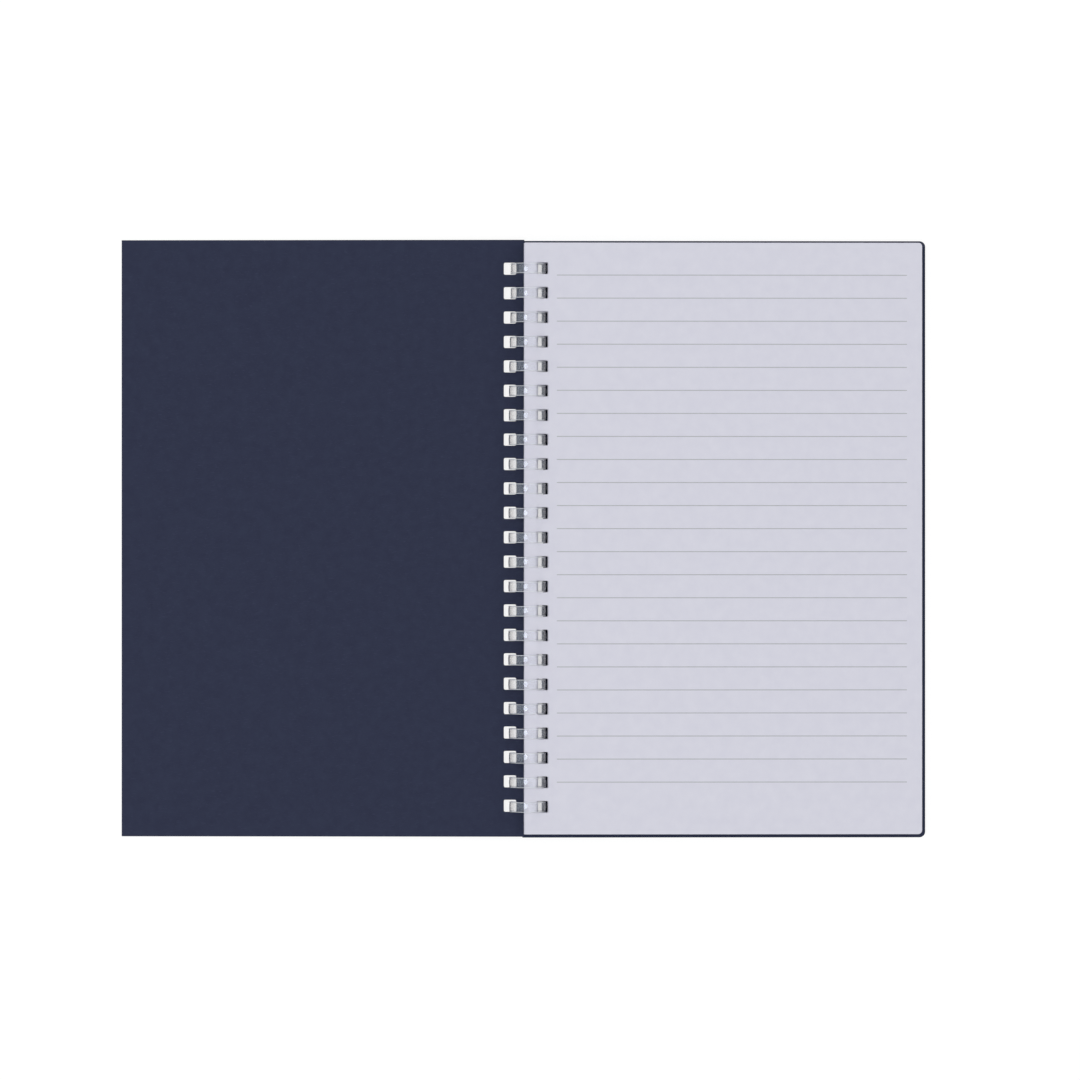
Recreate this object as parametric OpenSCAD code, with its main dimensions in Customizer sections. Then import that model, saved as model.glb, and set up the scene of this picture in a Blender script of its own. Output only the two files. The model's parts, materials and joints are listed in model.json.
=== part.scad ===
// Notebook bound with a clear plastic comb, lying open at its first page.
// X runs from the spine to the fore edge of the pages, Y along the spine to the head, Z up from the table.
// The origin is on the table, in the middle of the open notebook.
// Each sheet is drawn flat round the axis of the comb, then laid down until its outer edge meets the table.

/* [Covers] */
// Width of a cover, from its spine edge to its outer edge
cover_w = 139.85; // [100:0.05:220]
// Height of a cover, along the spine
cover_l = 207; // [150:0.1:300]
// Thickness of the cover board
cover_t = 0.8; // [0.4:0.05:1.5]
// Radius of the two outer corners of the back cover
back_corner_r = 2; // [0.5:0.5:10]

/* [Pages] */
// Width of a leaf
page_w = 137.4; // [98:0.05:218]
// Height of a leaf, along the spine
page_l = 204.5; // [148:0.1:298]
// Thickness of the stack of leaves
block_t = 6.4; // [3:0.1:12]
// Radius of the two outer corners of the leaves
page_corner_r = 1.2; // [0.2:0.1:10]

/* [Ruling] */
// Distance from one ruled line to the next
line_pitch = 7.97; // [5:0.01:12]
// Width of a printed line
line_w = 0.3; // [0.1:0.05:1]
// Depth to which the ink goes into the leaf
ink_t = 0.05; // [0.02:0.01:0.09]
// Blank space above the first line
head_margin = 11.1; // [5:0.1:40]
// Least blank space below the last line
foot_margin = 17; // [5:0.1:40]
// Blank space between the spine edge and the start of a line
line_inset = 11.1; // [9:0.05:40]
// Blank space between the end of a line and the fore edge
fore_margin = 5.15; // [1:0.05:40]

/* [Punching] */
// Distance from one slot to the next, three to the inch
slot_pitch = 8.4667; // [6:0.0001:8.6]
// Length of a slot, across the spine
slot_l = 4.3; // [4:0.05:4.6]
// Width of a slot, along the spine
slot_w = 4.2; // [3.8:0.05:5]
// Radius of the corners of a slot
slot_corner_r = 0.5; // [0.1:0.05:1.5]
// Board left between a cover's slots and its spine edge
cover_margin = 2.8; // [2.2:0.05:3]
// Paper left between the leaves' slots and their spine edge
page_margin = 3.87; // [3:0.01:4]
// Least distance from the middle of the last slot to the end of a leaf
end_margin = 8.5; // [6:0.1:20]
// How much nearer the head than the middle of a sheet the row of slots lies
head_shift = 0.35; // [0:0.05:1]

/* [Comb] */
// Thickness of the clear sheet that the comb is made of
comb_t = 0.4; // [0.25:0.05:0.6]
// Width of a finger
finger_w = 3.5; // [2:0.1:3.6]
// Room inside the comb beyond the closed stack of leaves and covers
comb_room = 4.9; // [4.3:0.05:10]
// Length of spine strip beyond the outermost fingers
comb_end = 1.6; // [0.2:0.1:2.4]
// Angle that the comb can turn to either side before its spine strip meets the covers
comb_play = 8; // [2:0.5:10]
// Where the fingers leave the round to curl in, seen from the head, from the fore edge round over the top
tuck_from = 160; // [140:1:170]
// Length of finger tip that lies inside the spine strip
tuck_l = 1.7; // [0.8:0.1:2.2]
// Radius of the corners of a finger tip
tip_r = 1.1; // [0.3:0.1:1.7]
// Radius where a finger grows out of the spine strip
root_r = 0.9; // [0.3:0.1:1.2]

/* [Seats] */
// How far the middle of the closed stack hangs below the axis of the comb
stack_drop = 0.475; // [0:0.005:0.6]
// Air between the back cover and the last leaf, so that the leaves' spine edge clears it as they turn
back_gap = 0.14; // [0.12:0.01:0.3]
// Air between the first leaf and the front cover when the notebook is shut
front_gap = 0.15; // [0.06:0.01:0.3]
// Gap between the comb and the outer end of the back cover's slots
back_play = 0.1; // [0.06:0.01:0.4]
// Gap between the comb and the outer end of the leaves' slots
page_play = 0.67; // [0.3:0.01:1.5]
// Gap between the finger tips and the sheets that turn inside them
tip_play = 0.15; // [0.06:0.01:0.3]
// How far the open front cover's spine edge stays behind that of the leaves beside it
edge_gap = 0.22; // [0.18:0.01:0.4]
// Gap between the spine strip and the covers, when the comb has turned as far as it can
spine_gap = 0.3; // [0.1:0.05:0.6]
// How far the front cover has slid along the comb, towards the head
front_slide = 0.15; // [-0.25:0.05:0.25]
// How far the back cover has slid along the comb, towards the foot
back_slide = 0.2; // [-0.25:0.05:0.25]

/* [Hidden] */
$fn = 96;
eps = 0.005;

// As many slots as the shorter sheet has room for
slot_n = floor((min(cover_l, page_l) - 2 * end_margin) / slot_pitch) + 1;

// Levels, measured from the axis of the comb
stack_half = (block_t + 2 * cover_t + back_gap + front_gap) / 2;
back_low = -stack_half - stack_drop;
back_top = back_low + cover_t;
page_low = back_top + back_gap;
page_top = page_low + block_t;
shut_low = page_top + front_gap;
// The open front cover is the shut one turned half round the comb
front_low = -shut_low - cover_t;
front_top = -shut_low;

// Comb
comb_r = (block_t + 2 * cover_t + back_gap + front_gap + comb_room) / 2;
comb_in = comb_r - comb_t;
comb_mid = comb_r - comb_t / 2;

// Back cover: the comb stands against the outer end of its slots
back_slot_out = sqrt(comb_r * comb_r - back_top * back_top) + back_play;
back_edge = back_slot_out - slot_l - cover_margin;

// Leaves: the widest part of the comb stands inside the outer end of their slots
page_slot_out = comb_r + page_play;
page_edge = page_slot_out - slot_l - page_margin;

// Finger tips pass outside the spine edge of the back cover
inner_r = norm([back_edge, back_low]);
tip_in = inner_r + tip_play;
tip_mid = tip_in + comb_t / 2;

// Front cover: open, it lies beside the leaves, and the curled-in fingers pass through its slots
front_edge = page_edge - edge_gap;
front_slot_in = front_edge - cover_margin;

// Each panel is laid down round the axis of the comb until its outer edge is on the table
front_reach = cover_w - front_edge;
back_reach = cover_w + back_edge;
front_tilt = lay_down(front_reach, -front_low);
back_tilt = lay_down(back_reach, -back_low);

// Spine strip: it lies under both covers, with room to turn, and starts out of sight of the front cover's slots
strip_slack = comb_play + degrees_of(spine_gap, comb_in);
hidden_from = acos(-front_slot_in / comb_r);
strip_from = 180 + front_tilt + max(asin(-front_low / comb_in) + strip_slack, hidden_from);
strip_to = 360 - asin(-back_low / comb_in) - back_tilt - strip_slack;
strip_l = (slot_n - 1) * slot_pitch + finger_w + 2 * comb_end;

// The curled-in stretch is an arc that leaves the round smoothly and ends at the tip
tip_at = strip_from + degrees_of(tuck_l, tip_mid);
tuck_turn = cos(tip_at - tuck_from);
tuck_shift = (comb_mid * comb_mid - tip_mid * tip_mid) / (2 * (comb_mid - tip_mid * tuck_turn));
tuck_mid = comb_mid - tuck_shift;
tuck_centre = tuck_shift * [cos(tuck_from), sin(tuck_from)];
tip_point = tip_mid * [cos(tip_at), sin(tip_at)];
tip_dir = atan2(tip_point[1] - tuck_centre[1], tip_point[0] - tuck_centre[0]) + 360;

// Ruling
line_n = floor((page_l - head_margin - foot_margin) / line_pitch) + 1;
line_l = page_w - line_inset - fore_margin;

// The origin is under the middle of the open notebook
left_end = -front_reach * cos(front_tilt) - front_top * sin(front_tilt);
right_end = back_reach * cos(back_tilt) + back_top * sin(back_tilt);
axis_x = -(left_end + right_end) / 2;
axis_y = head_shift - (front_slide - back_slide) / 2;
axis_z = comb_r;

// Angle that puts a point, reach away from the axis and depth below it, on the table
function lay_down(reach, depth) = asin(comb_r / norm([reach, depth])) - atan2(depth, reach);

// Angle that a length of arc takes up
function degrees_of(length, radius) = length / radius * 180 / PI;

// Place of slot or finger i along the spine
function slot_y(i) = (i - (slot_n - 1) / 2) * slot_pitch;

// A rectangle centred on the origin, with rounded corners
module rounded(l, w, r) {
    square([l - 2 * r, w], center = true);
    square([l, w - 2 * r], center = true);
    for (x = [-1, 1], y = [-1, 1]) translate([x * (l / 2 - r), y * (w / 2 - r)]) circle(r);
}

// A sheet whose spine edge lies on x = 0, with its two outer corners rounded
module sheet(w, l, r) {
    translate([0, -l / 2]) square([w - r, l]);
    translate([0, r - l / 2]) square([w, l - 2 * r]);
    for (y = [-1, 1]) translate([w - r, y * (l / 2 - r)]) circle(r);
}

// A punched sheet: one die cuts the row of slots, so the row is at y = 0 and the sheet's middle is not
module punched(margin) {
    difference() {
        translate([0, -head_shift]) children();
        for (i = [0 : slot_n - 1]) translate([margin + slot_l / 2, slot_y(i)])
            rounded(slot_l, slot_w, slot_corner_r);
    }
}

// Lays down a panel that was drawn round the axis of the comb, slid along it
module lay(tilt, slide = 0) {
    translate([axis_x, axis_y + slide, axis_z]) rotate([0, tilt, 0]) children();
}

module front_cover() {
    color("#333649") lay(-front_tilt, front_slide) translate([front_edge, 0, front_low]) mirror([1, 0, 0])
        linear_extrude(cover_t) punched(cover_margin)
            translate([0, -cover_l / 2]) square([cover_w, cover_l]);
}

module back_cover() {
    color("#333649") lay(back_tilt, -back_slide) translate([back_edge, 0, back_low])
        linear_extrude(cover_t) punched(cover_margin)
            sheet(cover_w, cover_l, back_corner_r);
}

module page_block() {
    color("#D9D9E4") lay(back_tilt) translate([page_edge, 0, page_low]) difference() {
        linear_extrude(block_t) punched(page_margin)
            sheet(page_w, page_l, page_corner_r);
        ruling();
    }
}

// Printed lines on the upper face of the first leaf and the under face of the last, flush with the paper
module ruling() {
    for (low = [0, block_t - ink_t], i = [0 : line_n - 1])
        translate([line_inset, page_l / 2 - head_shift - head_margin - i * line_pitch - line_w / 2, low])
            cube([line_l, line_w, ink_t]);
}

module ruled_lines() {
    color("#B9B9C2") lay(back_tilt) translate([page_edge, 0, page_low]) ruling();
}

// A band of the comb's section, t thick, from angle a to angle b
module arc_band(mid, a, b, t = comb_t) {
    steps = ceil((b - a) / 40);
    intersection() {
        difference() {
            circle(mid + t / 2);
            circle(mid - t / 2);
        }
        polygon(concat([[0, 0]], [for (k = [0 : steps]) 2 * mid * [cos(a + (b - a) * k / steps),
            sin(a + (b - a) * k / steps)]]));
    }
}

// Extrudes a section along the spine, centred on y
module along_spine(l, y) {
    translate([0, y + l / 2, 0]) rotate([90, 0, 0]) linear_extrude(l) children();
}

// Turns an outline, drawn with x along the curl and y along the spine, to face out at an angle round the axis
module facing(angle) {
    rotate([0, -angle, 0]) rotate([0, 90, 0]) mirror([1, 0, 0]) linear_extrude(2 * comb_r) children();
}

// One finger: round over the top, curled in, with a rounded tip
// The curled-in stretch starts inside the round and is thinner by a hair, so their faces cross cleanly
module finger() {
    difference() {
        union() {
            along_spine(finger_w, 0) arc_band(comb_mid, strip_to - 360 - 6, tuck_from);
            along_spine(finger_w, 0) translate(tuck_centre)
                arc_band(tuck_mid, tuck_from - 2, tip_dir, comb_t - 2 * eps);
        }
        translate([tuck_centre[0], 0, tuck_centre[1]]) facing(tip_dir) tip_corners();
    }
}

// What the rounding takes off a finger tip, whose end is at x = 0
// Here and at the root the circles are larger by a hair, so that they cross the straight edges
module tip_corners() {
    difference() {
        translate([-tip_r, -finger_w]) square([tip_r + 1, 2 * finger_w]);
        translate([-3 * tip_r, tip_r - finger_w / 2]) square([3 * tip_r + 2, finger_w - 2 * tip_r]);
        for (s = [-1, 1]) translate([-tip_r, s * (finger_w / 2 - tip_r)]) circle(tip_r + eps);
    }
}

// The flare where a finger grows out of the spine strip, whose edge is at x = 0
module root_flare() {
    intersection() {
        along_spine(finger_w + 2 * root_r, 0)
            arc_band(comb_mid, strip_to - 360 - 3, strip_to - 360 + degrees_of(root_r, comb_mid));
        facing(strip_to) difference() {
            translate([-root_r, -finger_w / 2 - root_r]) square([2 * root_r, finger_w + 2 * root_r]);
            for (s = [-1, 1]) translate([root_r, s * (finger_w / 2 + root_r)]) circle(root_r + eps);
        }
    }
}

module comb_binding() {
    color("#E6ECF2", 0.35) translate([axis_x, axis_y, axis_z]) {
        along_spine(strip_l, 0) arc_band(comb_mid, strip_from, strip_to);
        for (i = [0 : slot_n - 1]) translate([0, slot_y(i), 0]) {
            finger();
            root_flare();
        }
    }
}

front_cover();
back_cover();
page_block();
ruled_lines();
comb_binding();
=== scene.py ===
import bpy
import json
import math
import random
from mathutils import Matrix, Vector
from mathutils.geometry import tessellate_polygon


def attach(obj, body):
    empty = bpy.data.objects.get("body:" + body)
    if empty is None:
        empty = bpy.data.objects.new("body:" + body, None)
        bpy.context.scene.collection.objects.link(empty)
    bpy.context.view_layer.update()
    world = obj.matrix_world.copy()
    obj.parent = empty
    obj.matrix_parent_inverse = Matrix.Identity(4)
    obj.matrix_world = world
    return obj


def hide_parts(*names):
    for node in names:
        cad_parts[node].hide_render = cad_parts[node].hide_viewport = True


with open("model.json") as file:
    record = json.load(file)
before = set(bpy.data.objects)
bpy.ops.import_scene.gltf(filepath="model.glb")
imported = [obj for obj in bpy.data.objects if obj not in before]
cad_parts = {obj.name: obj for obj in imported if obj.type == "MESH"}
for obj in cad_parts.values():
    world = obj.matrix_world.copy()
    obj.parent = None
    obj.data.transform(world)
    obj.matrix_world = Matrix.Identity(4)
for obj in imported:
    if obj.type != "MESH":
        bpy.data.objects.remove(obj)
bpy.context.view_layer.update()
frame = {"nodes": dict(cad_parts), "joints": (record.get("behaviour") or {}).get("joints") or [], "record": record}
mm = 0.001
print("frame loaded:", ", ".join(sorted(frame["nodes"])))


# What all pieces share

# every joint turns round the axis of the comb
combAxis = Vector(frame["joints"][0]["pos_m"])
# the pages slope down to the table by a little, as the writing face says
faceUp = Vector(frame["record"]["mounts"][0]["axis"])
pageTilt = math.atan2(faceUp.x, faceUp.z)

punching = {
    "slots": 23,
    "pitch": 25.4 / 3,  # three slots to the inch
    "slot": (4.3, 4.2),  # across and along the spine, mm
    "cornerRadius": 0.5,
    "cornerSteps": 3,
}

celluloseIor = 1.5  # board, paper and the ink in it all shine as their fibres do


def slotPlace(i):
    return (i - (punching["slots"] - 1) / 2) * punching["pitch"]


def linear(hexColour):
    # sRGB hex to the linear colour that the shaders take
    parts = [int(hexColour[k:k + 2], 16) / 255 for k in (1, 3, 5)]
    return [*(c / 12.92 if c <= 0.04045 else ((c + 0.055) / 1.055) ** 2.4 for c in parts), 1.0]


def addNode(tree, kind, inputs=None, **settings):
    # one node, its settings, and its inputs as values or as links from other nodes' outputs
    node = tree.nodes.new(kind)
    for name, value in settings.items():
        setattr(node, name, value)
    for name, value in (inputs or {}).items():
        if isinstance(value, bpy.types.NodeSocket):
            tree.links.new(value, node.inputs[name])
        else:
            node.inputs[name].default_value = value
    return node


def newMaterial(name):
    material = bpy.data.materials.new(name)
    material.use_nodes = True
    tree = material.node_tree
    tree.nodes.clear()
    return material, tree


def addObject(name, verts, faces, material, smooth=False):
    mesh = bpy.data.meshes.new(name)
    mesh.from_pydata(verts, [], faces)
    mesh.validate()
    mesh.polygons.foreach_set("use_smooth", [smooth] * len(mesh.polygons))
    mesh.materials.append(material)
    obj = bpy.data.objects.new(name, mesh)
    bpy.context.scene.collection.objects.link(obj)
    return obj


def setMaterial(obj, material):
    obj.data.materials.clear()
    obj.data.materials.append(material)


# Camera, straight above the notebook

photoView = {
    "frameWidth": 374.55,  # what the picture spans at the level of the covers, in mm
    "distance": 1850,  # from the camera down to the covers, in mm
    "coverLevel": 3.5,  # mm above the table
    "centre": (5.76, -0.43),  # the point under the middle of the picture, in mm
    "sensor": 36,
    "clip": (0.1, 20),  # nearest and farthest that the camera sees, in metres
}

camera = bpy.data.cameras.new("camera")
camera.sensor_width = photoView["sensor"]
camera.lens = photoView["sensor"] * photoView["distance"] / photoView["frameWidth"]
camera.clip_start, camera.clip_end = photoView["clip"]
cameraObject = bpy.data.objects.new("camera", camera)
bpy.context.scene.collection.objects.link(cameraObject)
cameraObject.location = (
    photoView["centre"][0] * mm,
    photoView["centre"][1] * mm,
    (photoView["distance"] + photoView["coverLevel"]) * mm,
)
bpy.context.scene.camera = cameraObject
print("camera set")


# Light: a white room with three round softboxes, so even that plain colours show as they are written

studio = {
    "roomStrength": 0.58,  # what the white room gives
    "softboxes": {  # place and size in metres, power in watts
        "overhead": {"place": (-0.45, 0.05, 2.3), "size": 1.1, "power": 11},
        "rightScrim": {"place": (1.2, 0.0, 2.0), "size": 2.4, "power": 12},
        "leftScrim": {"place": (-1.7, 0.0, 1.6), "size": 2.0, "power": 9},
    },
    "floorColour": "#EDEDED",
    # what shows of the paint, on which the shadows fall, and the glow that brings the bare floor up to white
    "floorShown": {"direct": "#717171", "throughPlastic": "#9B9B9B"},
    "floorLift": {"direct": 0.86, "throughPlastic": 0.7},
    "floorHalf": 4.0,  # half the floor's width, in metres
    "floorLevel": -0.00005,  # a hair under the notebook, in metres
}

world = bpy.data.worlds.new("room")
bpy.context.scene.world = world
world.use_nodes = True
tree = world.node_tree
tree.nodes.clear()
rays = addNode(tree, "ShaderNodeLightPath")
seen = addNode(tree, "ShaderNodeMath", {0: rays.outputs["Is Camera Ray"], 1: rays.outputs["Is Glossy Ray"]},
               operation="MAXIMUM")
seen = addNode(tree, "ShaderNodeMath", {0: seen.outputs[0], 1: rays.outputs["Is Transmission Ray"]},
               operation="MAXIMUM")
# what is seen of the room, straight on or in the plastic, is white
strength = addNode(tree, "ShaderNodeMath", {0: seen.outputs[0], 1: studio["roomStrength"]},
                   operation="MAXIMUM")
room = addNode(tree, "ShaderNodeBackground", {"Color": (1, 1, 1, 1), "Strength": strength.outputs[0]})
addNode(tree, "ShaderNodeOutputWorld", {"Surface": room.outputs[0]})

for name, box in studio["softboxes"].items():
    softbox = bpy.data.lights.new(name, "AREA")
    softbox.shape = "DISK"
    softbox.size = box["size"]
    softbox.energy = box["power"]
    softboxObject = bpy.data.objects.new(name, softbox)
    bpy.context.scene.collection.objects.link(softboxObject)
    softboxObject.location = box["place"]
    softboxObject.rotation_euler = (-Vector(box["place"])).to_track_quat("-Z", "Y").to_euler()

floorMaterial, tree = newMaterial("paintedFloor")
rays = addNode(tree, "ShaderNodeLightPath")
inPlastic = addNode(tree, "ShaderNodeMath", {
    0: rays.outputs["Is Glossy Ray"], 1: rays.outputs["Is Transmission Ray"]}, operation="MAXIMUM")


def perRay(direct, throughPlastic, otherwise):
    # one value for what the camera sees straight on, one for what shows in the plastic, one for bounced light
    onlyDirect = addNode(tree, "ShaderNodeMath", {
        0: rays.outputs["Is Camera Ray"], 1: direct - otherwise, 2: otherwise}, operation="MULTIPLY_ADD")
    value = addNode(tree, "ShaderNodeMath", {
        0: inPlastic.outputs[0], 1: throughPlastic - otherwise, 2: onlyDirect.outputs[0]},
        operation="MULTIPLY_ADD")
    return value.outputs[0]


tones = {name: linear(colour)[0] for name, colour in studio["floorShown"].items()}
paint = addNode(tree, "ShaderNodeBsdfDiffuse", {
    "Color": perRay(tones["direct"], tones["throughPlastic"], linear(studio["floorColour"])[0])})
glow = addNode(tree, "ShaderNodeEmission", {
    "Color": (1, 1, 1, 1),
    "Strength": perRay(studio["floorLift"]["direct"], studio["floorLift"]["throughPlastic"], 0.0)})
both = addNode(tree, "ShaderNodeAddShader", {0: paint.outputs[0], 1: glow.outputs[0]})
addNode(tree, "ShaderNodeOutputMaterial", {"Surface": both.outputs[0]})

floor = addObject(
    "floor",
    [(x * studio["floorHalf"], y * studio["floorHalf"], studio["floorLevel"])
     for x, y in ((-1, -1), (1, -1), (1, 1), (-1, 1))],
    [(0, 1, 2, 3)],
    floorMaterial,
)
print("light and floor set")


# Covers: navy board, dyed in the pulp and left uncoated, so it is dull and faintly clouded, with short fibres

board = {
    "colour": "#2E3347",
    "darkColour": "#2B2F43",
    "fibreColour": "#3D4259",
    "cloudMm": 3.2,  # size of the clouding in the pulp
    "cloudRange": (0.3, 0.7),  # the noise between which the tone goes from dark to light
    "grainMm": 0.5,  # finest grain, drawn a little coarser than the real one so that it shows
    "fibreMm": 1.6,  # length of a fibre
    "fibreSlim": 5,  # how many times as long as wide a fibre is
    "fibreTurns": (25, -52),  # the fibres lie crosswise, in two layers, in degrees
    "fibreRange": (0.64, 0.82),  # the noise between which a fibre comes up
    "fibreShow": 0.35,  # how far a fibre takes its own colour
    "roughness": 0.82,
    "specular": 0.1,
    "bumpMm": 0.02,
    "bumpStrength": 0.6,
}


def makeBoard():
    material, tree = newMaterial("dyedBoard")
    place = addNode(tree, "ShaderNodeTexCoord")
    point = place.outputs["Object"]
    cloud = addNode(tree, "ShaderNodeTexNoise", {"Vector": point, "Scale": 1 / (board["cloudMm"] * mm),
                                                 "Detail": 3.0, "Roughness": 0.6})
    grain = addNode(tree, "ShaderNodeTexNoise", {"Vector": point, "Scale": 1 / (board["grainMm"] * mm),
                                                 "Detail": 2.0, "Roughness": 0.5})
    layers = []
    for degrees in board["fibreTurns"]:
        stretched = addNode(tree, "ShaderNodeMapping", {
            "Vector": point, "Rotation": (0, 0, math.radians(degrees)),
            "Scale": (1, board["fibreSlim"], board["fibreSlim"])})
        layers.append(addNode(tree, "ShaderNodeTexNoise", {
            "Vector": stretched.outputs[0], "Scale": 1 / (board["fibreMm"] * mm), "Detail": 1.0}))
    fibre = addNode(tree, "ShaderNodeMath", {0: layers[0].outputs[0], 1: layers[1].outputs[0]},
                    operation="MAXIMUM")
    fibreMask = addNode(tree, "ShaderNodeMapRange", {
        "Value": fibre.outputs[0], "From Min": board["fibreRange"][0], "From Max": board["fibreRange"][1],
        "To Max": board["fibreShow"]})
    tone = addNode(tree, "ShaderNodeMapRange", {
        "Value": cloud.outputs[0], "From Min": board["cloudRange"][0], "From Max": board["cloudRange"][1]})
    base = addNode(tree, "ShaderNodeMix", {"Factor": tone.outputs[0], 6: linear(board["darkColour"]),
                                           7: linear(board["colour"])}, data_type="RGBA")
    base = addNode(tree, "ShaderNodeMix", {"Factor": fibreMask.outputs[0], 6: base.outputs[2],
                                           7: linear(board["fibreColour"])}, data_type="RGBA")
    bump = addNode(tree, "ShaderNodeBump", {"Height": grain.outputs[0], "Distance": board["bumpMm"] * mm,
                                            "Strength": board["bumpStrength"]})
    shader = addNode(tree, "ShaderNodeBsdfPrincipled", {
        "Base Color": base.outputs[2], "Roughness": board["roughness"], "IOR": celluloseIor,
        "Specular IOR Level": board["specular"], "Normal": bump.outputs[0]})
    addNode(tree, "ShaderNodeOutputMaterial", {"Surface": shader.outputs[0]})
    return material


boardMaterial = makeBoard()
for node in ("front_cover", "back_cover"):
    setMaterial(frame["nodes"][node], boardMaterial)
print("covers finished")


# Pages: uncoated writing paper, which scatters evenly, with a faint cloudy look-through and a fine tooth

paper = {
    "colour": "#D2D2DD",
    "darkColour": "#CECEDA",
    "cloudMm": 4.0,  # size of the clouds in the look-through
    "cloudRange": (0.3, 0.7),
    "toothMm": 0.35,  # drawn a little coarser than the real one so that it shows
    "roughness": 0.9,
    "specular": 0.2,
    "bumpMm": 0.01,
    "bumpStrength": 0.5,
}


def makePaper():
    material, tree = newMaterial("writingPaper")
    place = addNode(tree, "ShaderNodeTexCoord")
    point = place.outputs["Object"]
    cloud = addNode(tree, "ShaderNodeTexNoise", {"Vector": point, "Scale": 1 / (paper["cloudMm"] * mm),
                                                 "Detail": 4.0, "Roughness": 0.55})
    tooth = addNode(tree, "ShaderNodeTexNoise", {"Vector": point, "Scale": 1 / (paper["toothMm"] * mm),
                                                 "Detail": 2.0})
    tone = addNode(tree, "ShaderNodeMapRange", {
        "Value": cloud.outputs[0], "From Min": paper["cloudRange"][0], "From Max": paper["cloudRange"][1]})
    base = addNode(tree, "ShaderNodeMix", {"Factor": tone.outputs[0], 6: linear(paper["darkColour"]),
                                           7: linear(paper["colour"])}, data_type="RGBA")
    bump = addNode(tree, "ShaderNodeBump", {"Height": tooth.outputs[0], "Distance": paper["bumpMm"] * mm,
                                            "Strength": paper["bumpStrength"]})
    shader = addNode(tree, "ShaderNodeBsdfPrincipled", {
        "Base Color": base.outputs[2], "Roughness": paper["roughness"], "IOR": celluloseIor,
        "Specular IOR Level": paper["specular"], "Normal": bump.outputs[0]})
    addNode(tree, "ShaderNodeOutputMaterial", {"Surface": shader.outputs[0]})
    return material


leaves = {
    "count": 70,
    "width": 137.4,
    "height": 204.5,
    "bottom": -3.68,  # underside of the last leaf, from the axis of the comb
    "stack": 6.4,  # thickness of all leaves together
    "spineEdge": -0.905,  # from the axis of the comb
    "margin": 3.87,  # paper between the slots and the spine edge
    "headShift": 0.35,  # the slots lie this much nearer the head than the middle of a leaf
    "cornerRadius": 1.2,
    "cornerSteps": 5,
    "air": 0.009,  # between two leaves
    "drift": 0.16,  # how far leaves wander across the stack
    "driftStep": (0.045, 0.05),  # from one leaf to the next, across and along the spine
    "driftBack": 0.4,  # the share of the drift that is left towards the spine
    "seeds": {"drift": 4, "punch": 7},
    "lean": 0.25,  # how far the middle of the stack leans towards the spine
    # about half the leaves have their slots nearer the fore edge, which shows at the left of each well
    "punchedOff": (0, 0.85),
    "inkStand": 0.004,  # the print stands proud of the paper by this much
}


def arcPoints(cx, cy, r, start, steps):
    # a quarter turn, anticlockwise from the start angle
    return [(cx + r * math.cos(a), cy + r * math.sin(a))
            for a in (math.radians(start + 90 * k / steps) for k in range(steps + 1))]


def leafOutline():
    # the leaf's edge and its slots, in mm, with the spine edge on x = 0
    w, h, r = leaves["width"], leaves["height"] / 2, leaves["cornerRadius"]
    outer = [(0, -h)]
    outer += arcPoints(w - r, r - h, r, -90, leaves["cornerSteps"])
    outer += arcPoints(w - r, h - r, r, 0, leaves["cornerSteps"])
    outer += [(0, h)]
    outer = [(x, y - leaves["headShift"]) for x, y in outer]
    slotL, slotW = punching["slot"][0] / 2, punching["slot"][1] / 2
    r = punching["cornerRadius"]
    holes = []
    for i in range(punching["slots"]):
        x, y = leaves["margin"] + slotL, slotPlace(i)
        ring = []
        for sx, sy, start in ((1, -1, -90), (1, 1, 0), (-1, 1, 90), (-1, -1, 180)):
            ring += arcPoints(x + sx * (slotL - r), y + sy * (slotW - r), r, start,
                              punching["cornerSteps"])
        holes.append(ring)
    return outer, holes


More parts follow.
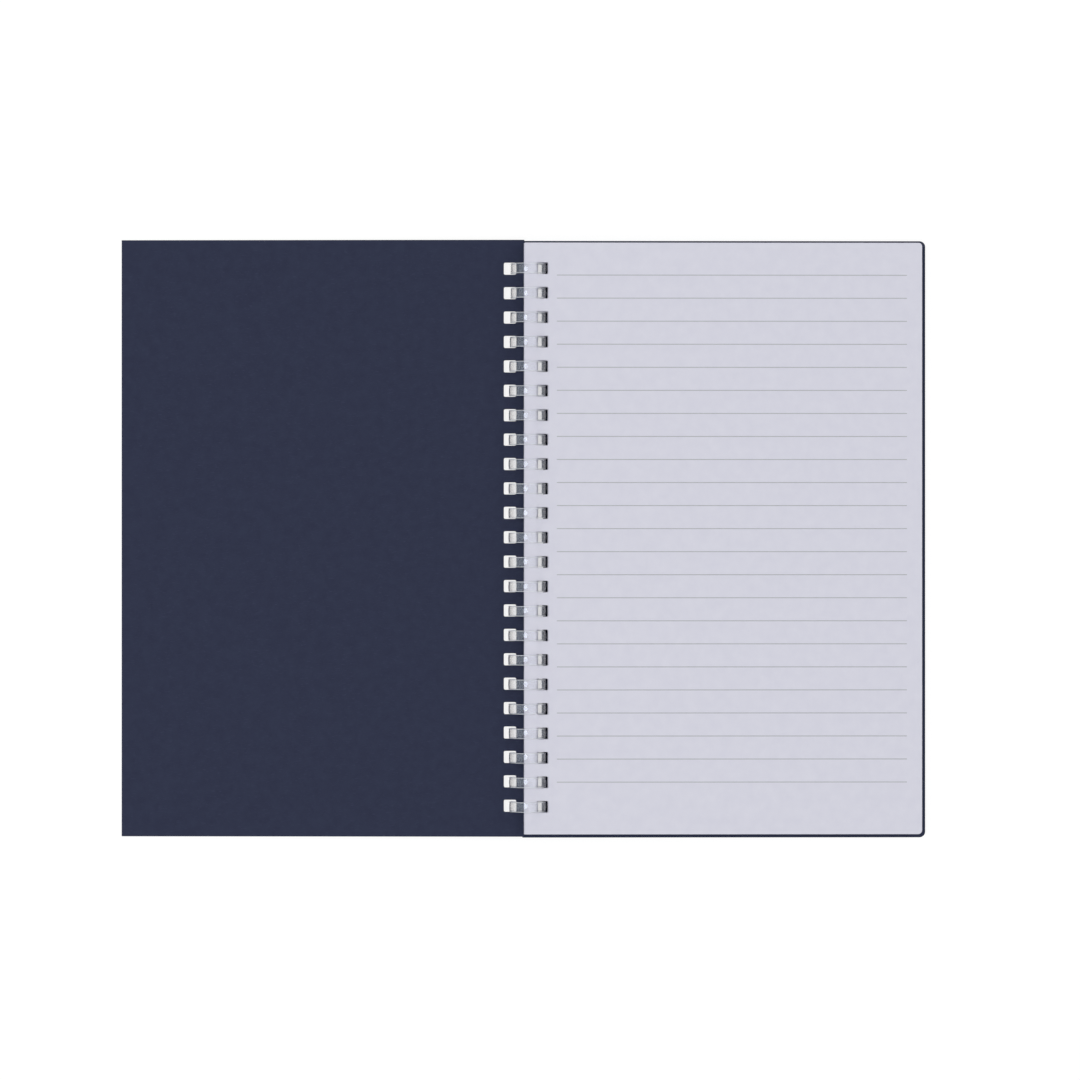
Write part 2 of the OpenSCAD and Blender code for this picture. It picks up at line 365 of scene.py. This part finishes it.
def makeLeafStack(material):
    outer, holes = leafOutline()
    loops = [outer, *holes]
    flat = [p for loop in loops for p in loop]
    caps = tessellate_polygon([[Vector((x, y, 0)) for x, y in loop] for loop in loops])
    # each cap triangle is turned to face up
    faceOf = []
    for a, b, c in caps:
        (ax, ay), (bx, by), (cx, cy) = flat[a], flat[b], flat[c]
        up = (bx - ax) * (cy - ay) - (by - ay) * (cx - ax) > 0
        faceOf.append((a, b, c) if up else (a, c, b))
    edges = []
    start = 0
    for loop in loops:
        ring = list(range(start, start + len(loop)))
        if loop is not outer:
            ring.reverse()
        edges += list(zip(ring, ring[1:] + ring[:1]))
        start += len(loop)

    chance, punch = (random.Random(leaves["seeds"][name]) for name in ("drift", "punch"))
    pitch = leaves["stack"] / leaves["count"]
    turn = Matrix.Rotation(pageTilt, 3, "Y")
    verts, faces = [], []
    driftX = driftY = 0.0
    for k in range(leaves["count"]):
        low = leaves["bottom"] + k * pitch + leaves["air"] / 2
        high = low + pitch - leaves["air"]
        top = k == leaves["count"] - 1
        if k == 0:
            low = leaves["bottom"] + leaves["inkStand"]
        if top:
            high = leaves["bottom"] + leaves["stack"] - leaves["inkStand"]
        # leaves wander a little from one to the next, and the first and last stay in place
        limit, (stepX, stepY) = leaves["drift"], leaves["driftStep"]
        driftX = max(-leaves["driftBack"] * limit, min(limit, driftX + chance.gauss(0, stepX)))
        driftY = max(-limit, min(limit, driftY + chance.gauss(0, stepY)))
        swell = math.sin(math.pi * k / (leaves["count"] - 1))
        dx, dy = (0.0, 0.0) if top or k == 0 else (driftX - leaves["lean"] * swell, driftY)
        punchedOff = punch.choice(leaves["punchedOff"]) * swell
        base = len(verts)
        for z in (low, high):
            for i, (x, y) in enumerate(flat):
                x += leaves["spineEdge"] + dx + (punchedOff if i >= len(outer) else 0)
                verts.append(combAxis + turn @ (Vector((x, y + dy, z)) * mm))
        n = len(flat)
        faces += [(base + a, base + c, base + b) for a, b, c in faceOf]
        faces += [(base + n + a, base + n + b, base + n + c) for a, b, c in faceOf]
        faces += [(base + a, base + b, base + n + b, base + n + a) for a, b in edges]
    return addObject("leafStack", verts, faces, material)


paperMaterial = makePaper()
leafStack = makeLeafStack(paperMaterial)
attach(leafStack, "page_block")
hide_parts("page_block")
print("leaves stacked:", leaves["count"])


# Ruling: thin grey offset ink, soaked into the paper, so it is as dull as the paper

ink = {
    "colour": "#A2A4A8",
    "thinColour": "#B2B4B8",
    "breakMm": 0.8,  # how fast the ink's density changes along a line
    "roughness": 0.9,
    "specular": 0.2,
}


def makeInk():
    material, tree = newMaterial("offsetInk")
    place = addNode(tree, "ShaderNodeTexCoord")
    density = addNode(tree, "ShaderNodeTexNoise", {"Vector": place.outputs["Object"],
                                                   "Scale": 1 / (ink["breakMm"] * mm), "Detail": 2.0})
    base = addNode(tree, "ShaderNodeMix", {"Factor": density.outputs[0], 6: linear(ink["colour"]),
                                           7: linear(ink["thinColour"])}, data_type="RGBA")
    shader = addNode(tree, "ShaderNodeBsdfPrincipled", {
        "Base Color": base.outputs[2], "Roughness": ink["roughness"], "IOR": celluloseIor,
        "Specular IOR Level": ink["specular"]})
    addNode(tree, "ShaderNodeOutputMaterial", {"Surface": shader.outputs[0]})
    return material


setMaterial(frame["nodes"]["ruled_lines"], makeInk())
print("ruling inked")


# Comb: clear rigid vinyl sheet, cut flat and curled with heat, so it is glossy and slightly crowned

comb = {
    "radius": 6.595,  # outside, mm
    "sheet": 0.4,
    "stripFrom": 234.67,  # degrees round the axis, from the fore edge of the pages over the top
    "stripTo": 300.18,
    "stripLength": 192.97,
    "tuckFrom": 160,
    "tuckRadius": 5.5,
    "tuckTo": 263.88,  # seen from the centre of the tucked arc
    # how far a finger's round is pressed in on the side of the front cover, from the head to the foot, mm
    "pressedIn": [(0, 0.85), (0.05, 0.75), (0.2, 0.15), (0.35, 0), (0.75, -0.12), (0.9, 0.1), (1, 0.25)],
    "finger": 3.5,
    "rootRadius": 0.6,
    "tipRadius": 1.1,
    "crown": 0.2,  # how far the middle of a finger stands above its edges
    "crownStart": 2.5,  # length over which a finger takes its crown
    "crownEnd": 5,  # length over which the crown fades towards the tip
    "flatTip": 4.8,  # length at the tip that has no crown, where a finger passes the front cover
    "pressDepth": 3.2,  # how far below the axis of the comb a finger is still pressed in
    "rim": 0.24,  # width of the whitened rim along a finger, a painted highlight for the bright lines of light along its edges
    "edge": 0.16,  # rounding of the cut edges
    "edgeSteps": 3,
    "edgeAngle": 50,  # only corners sharper than this are rounded, in degrees
    "stepDegrees": 4,
    "fineSteps": 6,  # over the flare at a root and the rounding of a tip
    "midShare": 0.45,  # where a finger's inner columns stand, as a share of half its width
}

vinyl = {
    "colour": "#FEFEFF",
    # the whitened rim is a painted highlight: a rough, less clear vinyl that stands in for the bright lines of
    # light along the fingers' edges
    "paintedHighlightRimColour": "#F2F5FA",
    "paintedHighlightRimRoughness": 0.45,
    "paintedHighlightRimClearness": 0.72,
    "paintedReflectionTint": "#E4F0FF",  # tints the vinyl's reflections blue, standing in for bluish light from the room: a painted colour of reflection
    "roughness": 0.07,
    "ior": 1.53,
    "rippleMm": 2.4,  # slow waves that the curling leaves in the sheet
    "bumpMm": 0.003,
    "bumpStrength": 0.5,
}


def makeVinyl(name, colour, roughness, clearness):
    material, tree = newMaterial(name)
    place = addNode(tree, "ShaderNodeTexCoord")
    ripple = addNode(tree, "ShaderNodeTexNoise", {"Vector": place.outputs["Object"],
                                                  "Scale": 1 / (vinyl["rippleMm"] * mm), "Detail": 1.0})
    bump = addNode(tree, "ShaderNodeBump", {"Height": ripple.outputs[0], "Distance": vinyl["bumpMm"] * mm,
                                            "Strength": vinyl["bumpStrength"]})
    shader = addNode(tree, "ShaderNodeBsdfPrincipled", {
        "Base Color": linear(colour), "Roughness": roughness, "IOR": vinyl["ior"],
        # the specular tint paints the reflections bluish
        "Specular Tint": linear(vinyl["paintedReflectionTint"]), "Transmission Weight": clearness,
        "Normal": bump.outputs[0]})
    addNode(tree, "ShaderNodeOutputMaterial", {"Surface": shader.outputs[0]})
    return material


def combPath():
    # rows of the curled sheet, each a place and an outward direction across the axis, and its length so far
    middle = comb["radius"] - comb["sheet"] / 2
    shift = middle - comb["tuckRadius"]
    tuckStart = math.radians(comb["tuckFrom"])
    tuckCentre = (shift * math.cos(tuckStart), shift * math.sin(tuckStart))
    rows = []
    length = 0.0

    def addRow(centre, radius, degrees):
        nonlocal length
        a = math.radians(degrees)
        spot = (centre[0] + radius * math.cos(a), centre[1] + radius * math.sin(a))
        if rows:
            length += math.dist(spot, rows[-1]["spot"])
        rows.append({"spot": spot, "out": (math.cos(a), math.sin(a)), "length": length})

    def spread(start, end, radius, endLengths):
        # angles from start to end in even steps, with finer steps over the stated lengths at either end
        first, last = (math.degrees(x / radius) for x in endLengths)
        inner, outer = start + first, end - last
        fine = comb["fineSteps"]
        angles = [start + first * k / fine for k in range(fine)] if first else []
        steps = max(2, round((outer - inner) / comb["stepDegrees"]))
        angles += [inner + (outer - inner) * k / steps for k in range(steps + 1)]
        if last:
            angles += [outer + last * math.sin(math.radians(90 * k / fine)) for k in range(1, fine + 1)]
        return angles

    for angle in spread(comb["stripFrom"], comb["stripTo"], middle, (0, 0)):
        addRow((0, 0), middle, angle)
    stripRows = len(rows)
    for angle in spread(comb["stripTo"], comb["tuckFrom"] + 360, middle, (comb["rootRadius"], 0))[1:]:
        addRow((0, 0), middle, angle)
    tucked = spread(comb["tuckFrom"], comb["tuckTo"], comb["tuckRadius"], (0, comb["tipRadius"]))
    for angle in tucked[1:]:
        addRow(tuckCentre, comb["tuckRadius"], angle)
    return rows, stripRows


def makeComb(clear, paintedEdgeHighlight):
    rows, stripRows = combPath()
    stripEnd = rows[stripRows - 1]["length"]
    total = rows[-1]["length"]
    half, rootR, tipR = comb["finger"] / 2, comb["rootRadius"], comb["tipRadius"]

    def halfWidth(length):
        fromRoot, toTip = length - stripEnd, total - length
        if fromRoot < rootR:
            left = rootR - max(fromRoot, 0)
            return half + rootR - math.sqrt(max(rootR ** 2 - left ** 2, 0))
        if toTip < tipR:
            left = tipR - toTip
            return half - tipR + math.sqrt(max(tipR ** 2 - left ** 2, 0))
        return half

    def pressedIn(y):
        place = 0.5 - y / (slotPlace(punching["slots"] - 1) - slotPlace(0))
        for (a, pressA), (b, pressB) in zip(comb["pressedIn"], comb["pressedIn"][1:]):
            if place <= b:
                return pressA + (pressB - pressA) * max(place - a, 0) / (b - a)
        return comb["pressedIn"][-1][1]

    verts, sheetFaces = [], []

    def addPoint(row, y, sink, press=0.0):
        # the outer and the inner side of the sheet
        for side in (0.5, -0.5):
            r = side * comb["sheet"] - sink
            x, z = (row["spot"][k] + row["out"][k] * r for k in (0, 1))
            if x < 0:
                near = min(1, max(0, 1 + z / comb["pressDepth"]))
                x -= press * (x / comb["radius"]) * near * near * (3 - 2 * near)
            verts.append(combAxis + Vector((x, y, z)) * mm)
        return len(verts) // 2 - 1

    inner = 1 - comb["rim"] / half
    shares = [-1, -inner, -comb["midShare"], 0, comb["midShare"], inner, 1]
    # across the strip, the columns of the fingers with two more in each gap
    wide = half + rootR
    columns, fingerColumns = [-comb["stripLength"] / 2], []
    for i in range(punching["slots"]):
        if i:
            gapStart = columns[-1]
            gap = slotPlace(i) - wide - gapStart
            columns += [gapStart + gap / 3, gapStart + 2 * gap / 3]
        fingerColumns.append(len(columns))
        columns += [slotPlace(i) + s * wide for s in shares]
    columns.append(comb["stripLength"] / 2)

    grid = [[addPoint(row, y, 0) for y in columns] for row in rows[:stripRows]]
    for above, below in zip(grid, grid[1:]):
        for k in range(len(columns) - 1):
            sheetFaces.append((above[k], above[k + 1], below[k + 1], below[k]))
    paintedHighlightFaces = [False] * len(sheetFaces)
    for i, first in enumerate(fingerColumns):
        last = grid[-1][first:first + len(shares)]
        press = pressedIn(slotPlace(i))
        for row in rows[stripRows:]:
            width = halfWidth(row["length"])
            crown = comb["crown"] * min(1, (row["length"] - stripEnd) / comb["crownStart"],
                                        max(0, total - row["length"] - comb["flatTip"]) / comb["crownEnd"])
            line = [addPoint(row, slotPlace(i) + s * width, crown * (s * width / half) ** 2, press)
                    for s in shares]
            for k in range(len(shares) - 1):
                sheetFaces.append((last[k], last[k + 1], line[k + 1], line[k]))
                paintedHighlightFaces.append(k in (0, len(shares) - 2))
            last = line

    # the two sides of the sheet, and the cut edge between them
    used = dict.fromkeys((a, b) for face in sheetFaces for a, b in zip(face, face[1:] + face[:1]))
    faces = [tuple(2 * v for v in face) for face in sheetFaces]
    faces += [tuple(2 * v + 1 for v in reversed(face)) for face in sheetFaces]
    cut = [(2 * b, 2 * a, 2 * a + 1, 2 * b + 1) for a, b in used if (b, a) not in used]
    obj = addObject("combBinding", verts, faces + cut, clear, smooth=True)
    obj.data.materials.append(paintedEdgeHighlight)
    # the rim columns and the cut edges take the whitened vinyl, the painted edge highlight
    obj.data.polygons.foreach_set("material_index", [int(rim) for rim in paintedHighlightFaces + paintedHighlightFaces] + [1] * len(cut))
    rounding = obj.modifiers.new("cutEdges", "BEVEL")
    rounding.width = comb["edge"] * mm
    rounding.segments = comb["edgeSteps"]
    rounding.limit_method = "ANGLE"
    rounding.angle_limit = math.radians(comb["edgeAngle"])
    return obj


combObject = makeComb(
    makeVinyl("clearVinyl", vinyl["colour"], vinyl["roughness"], 1.0),
    # whitened vinyl for the rims and cut edges: a painted highlight along the fingers' edges
    makeVinyl("paintedEdgeHighlightVinyl", vinyl["paintedHighlightRimColour"], vinyl["paintedHighlightRimRoughness"], vinyl["paintedHighlightRimClearness"]),
)
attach(combObject, "comb")
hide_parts("comb_binding")
print("comb curled:", punching["slots"], "fingers")


# Colours show as they are written
bpy.context.scene.view_settings.view_transform = "Standard"
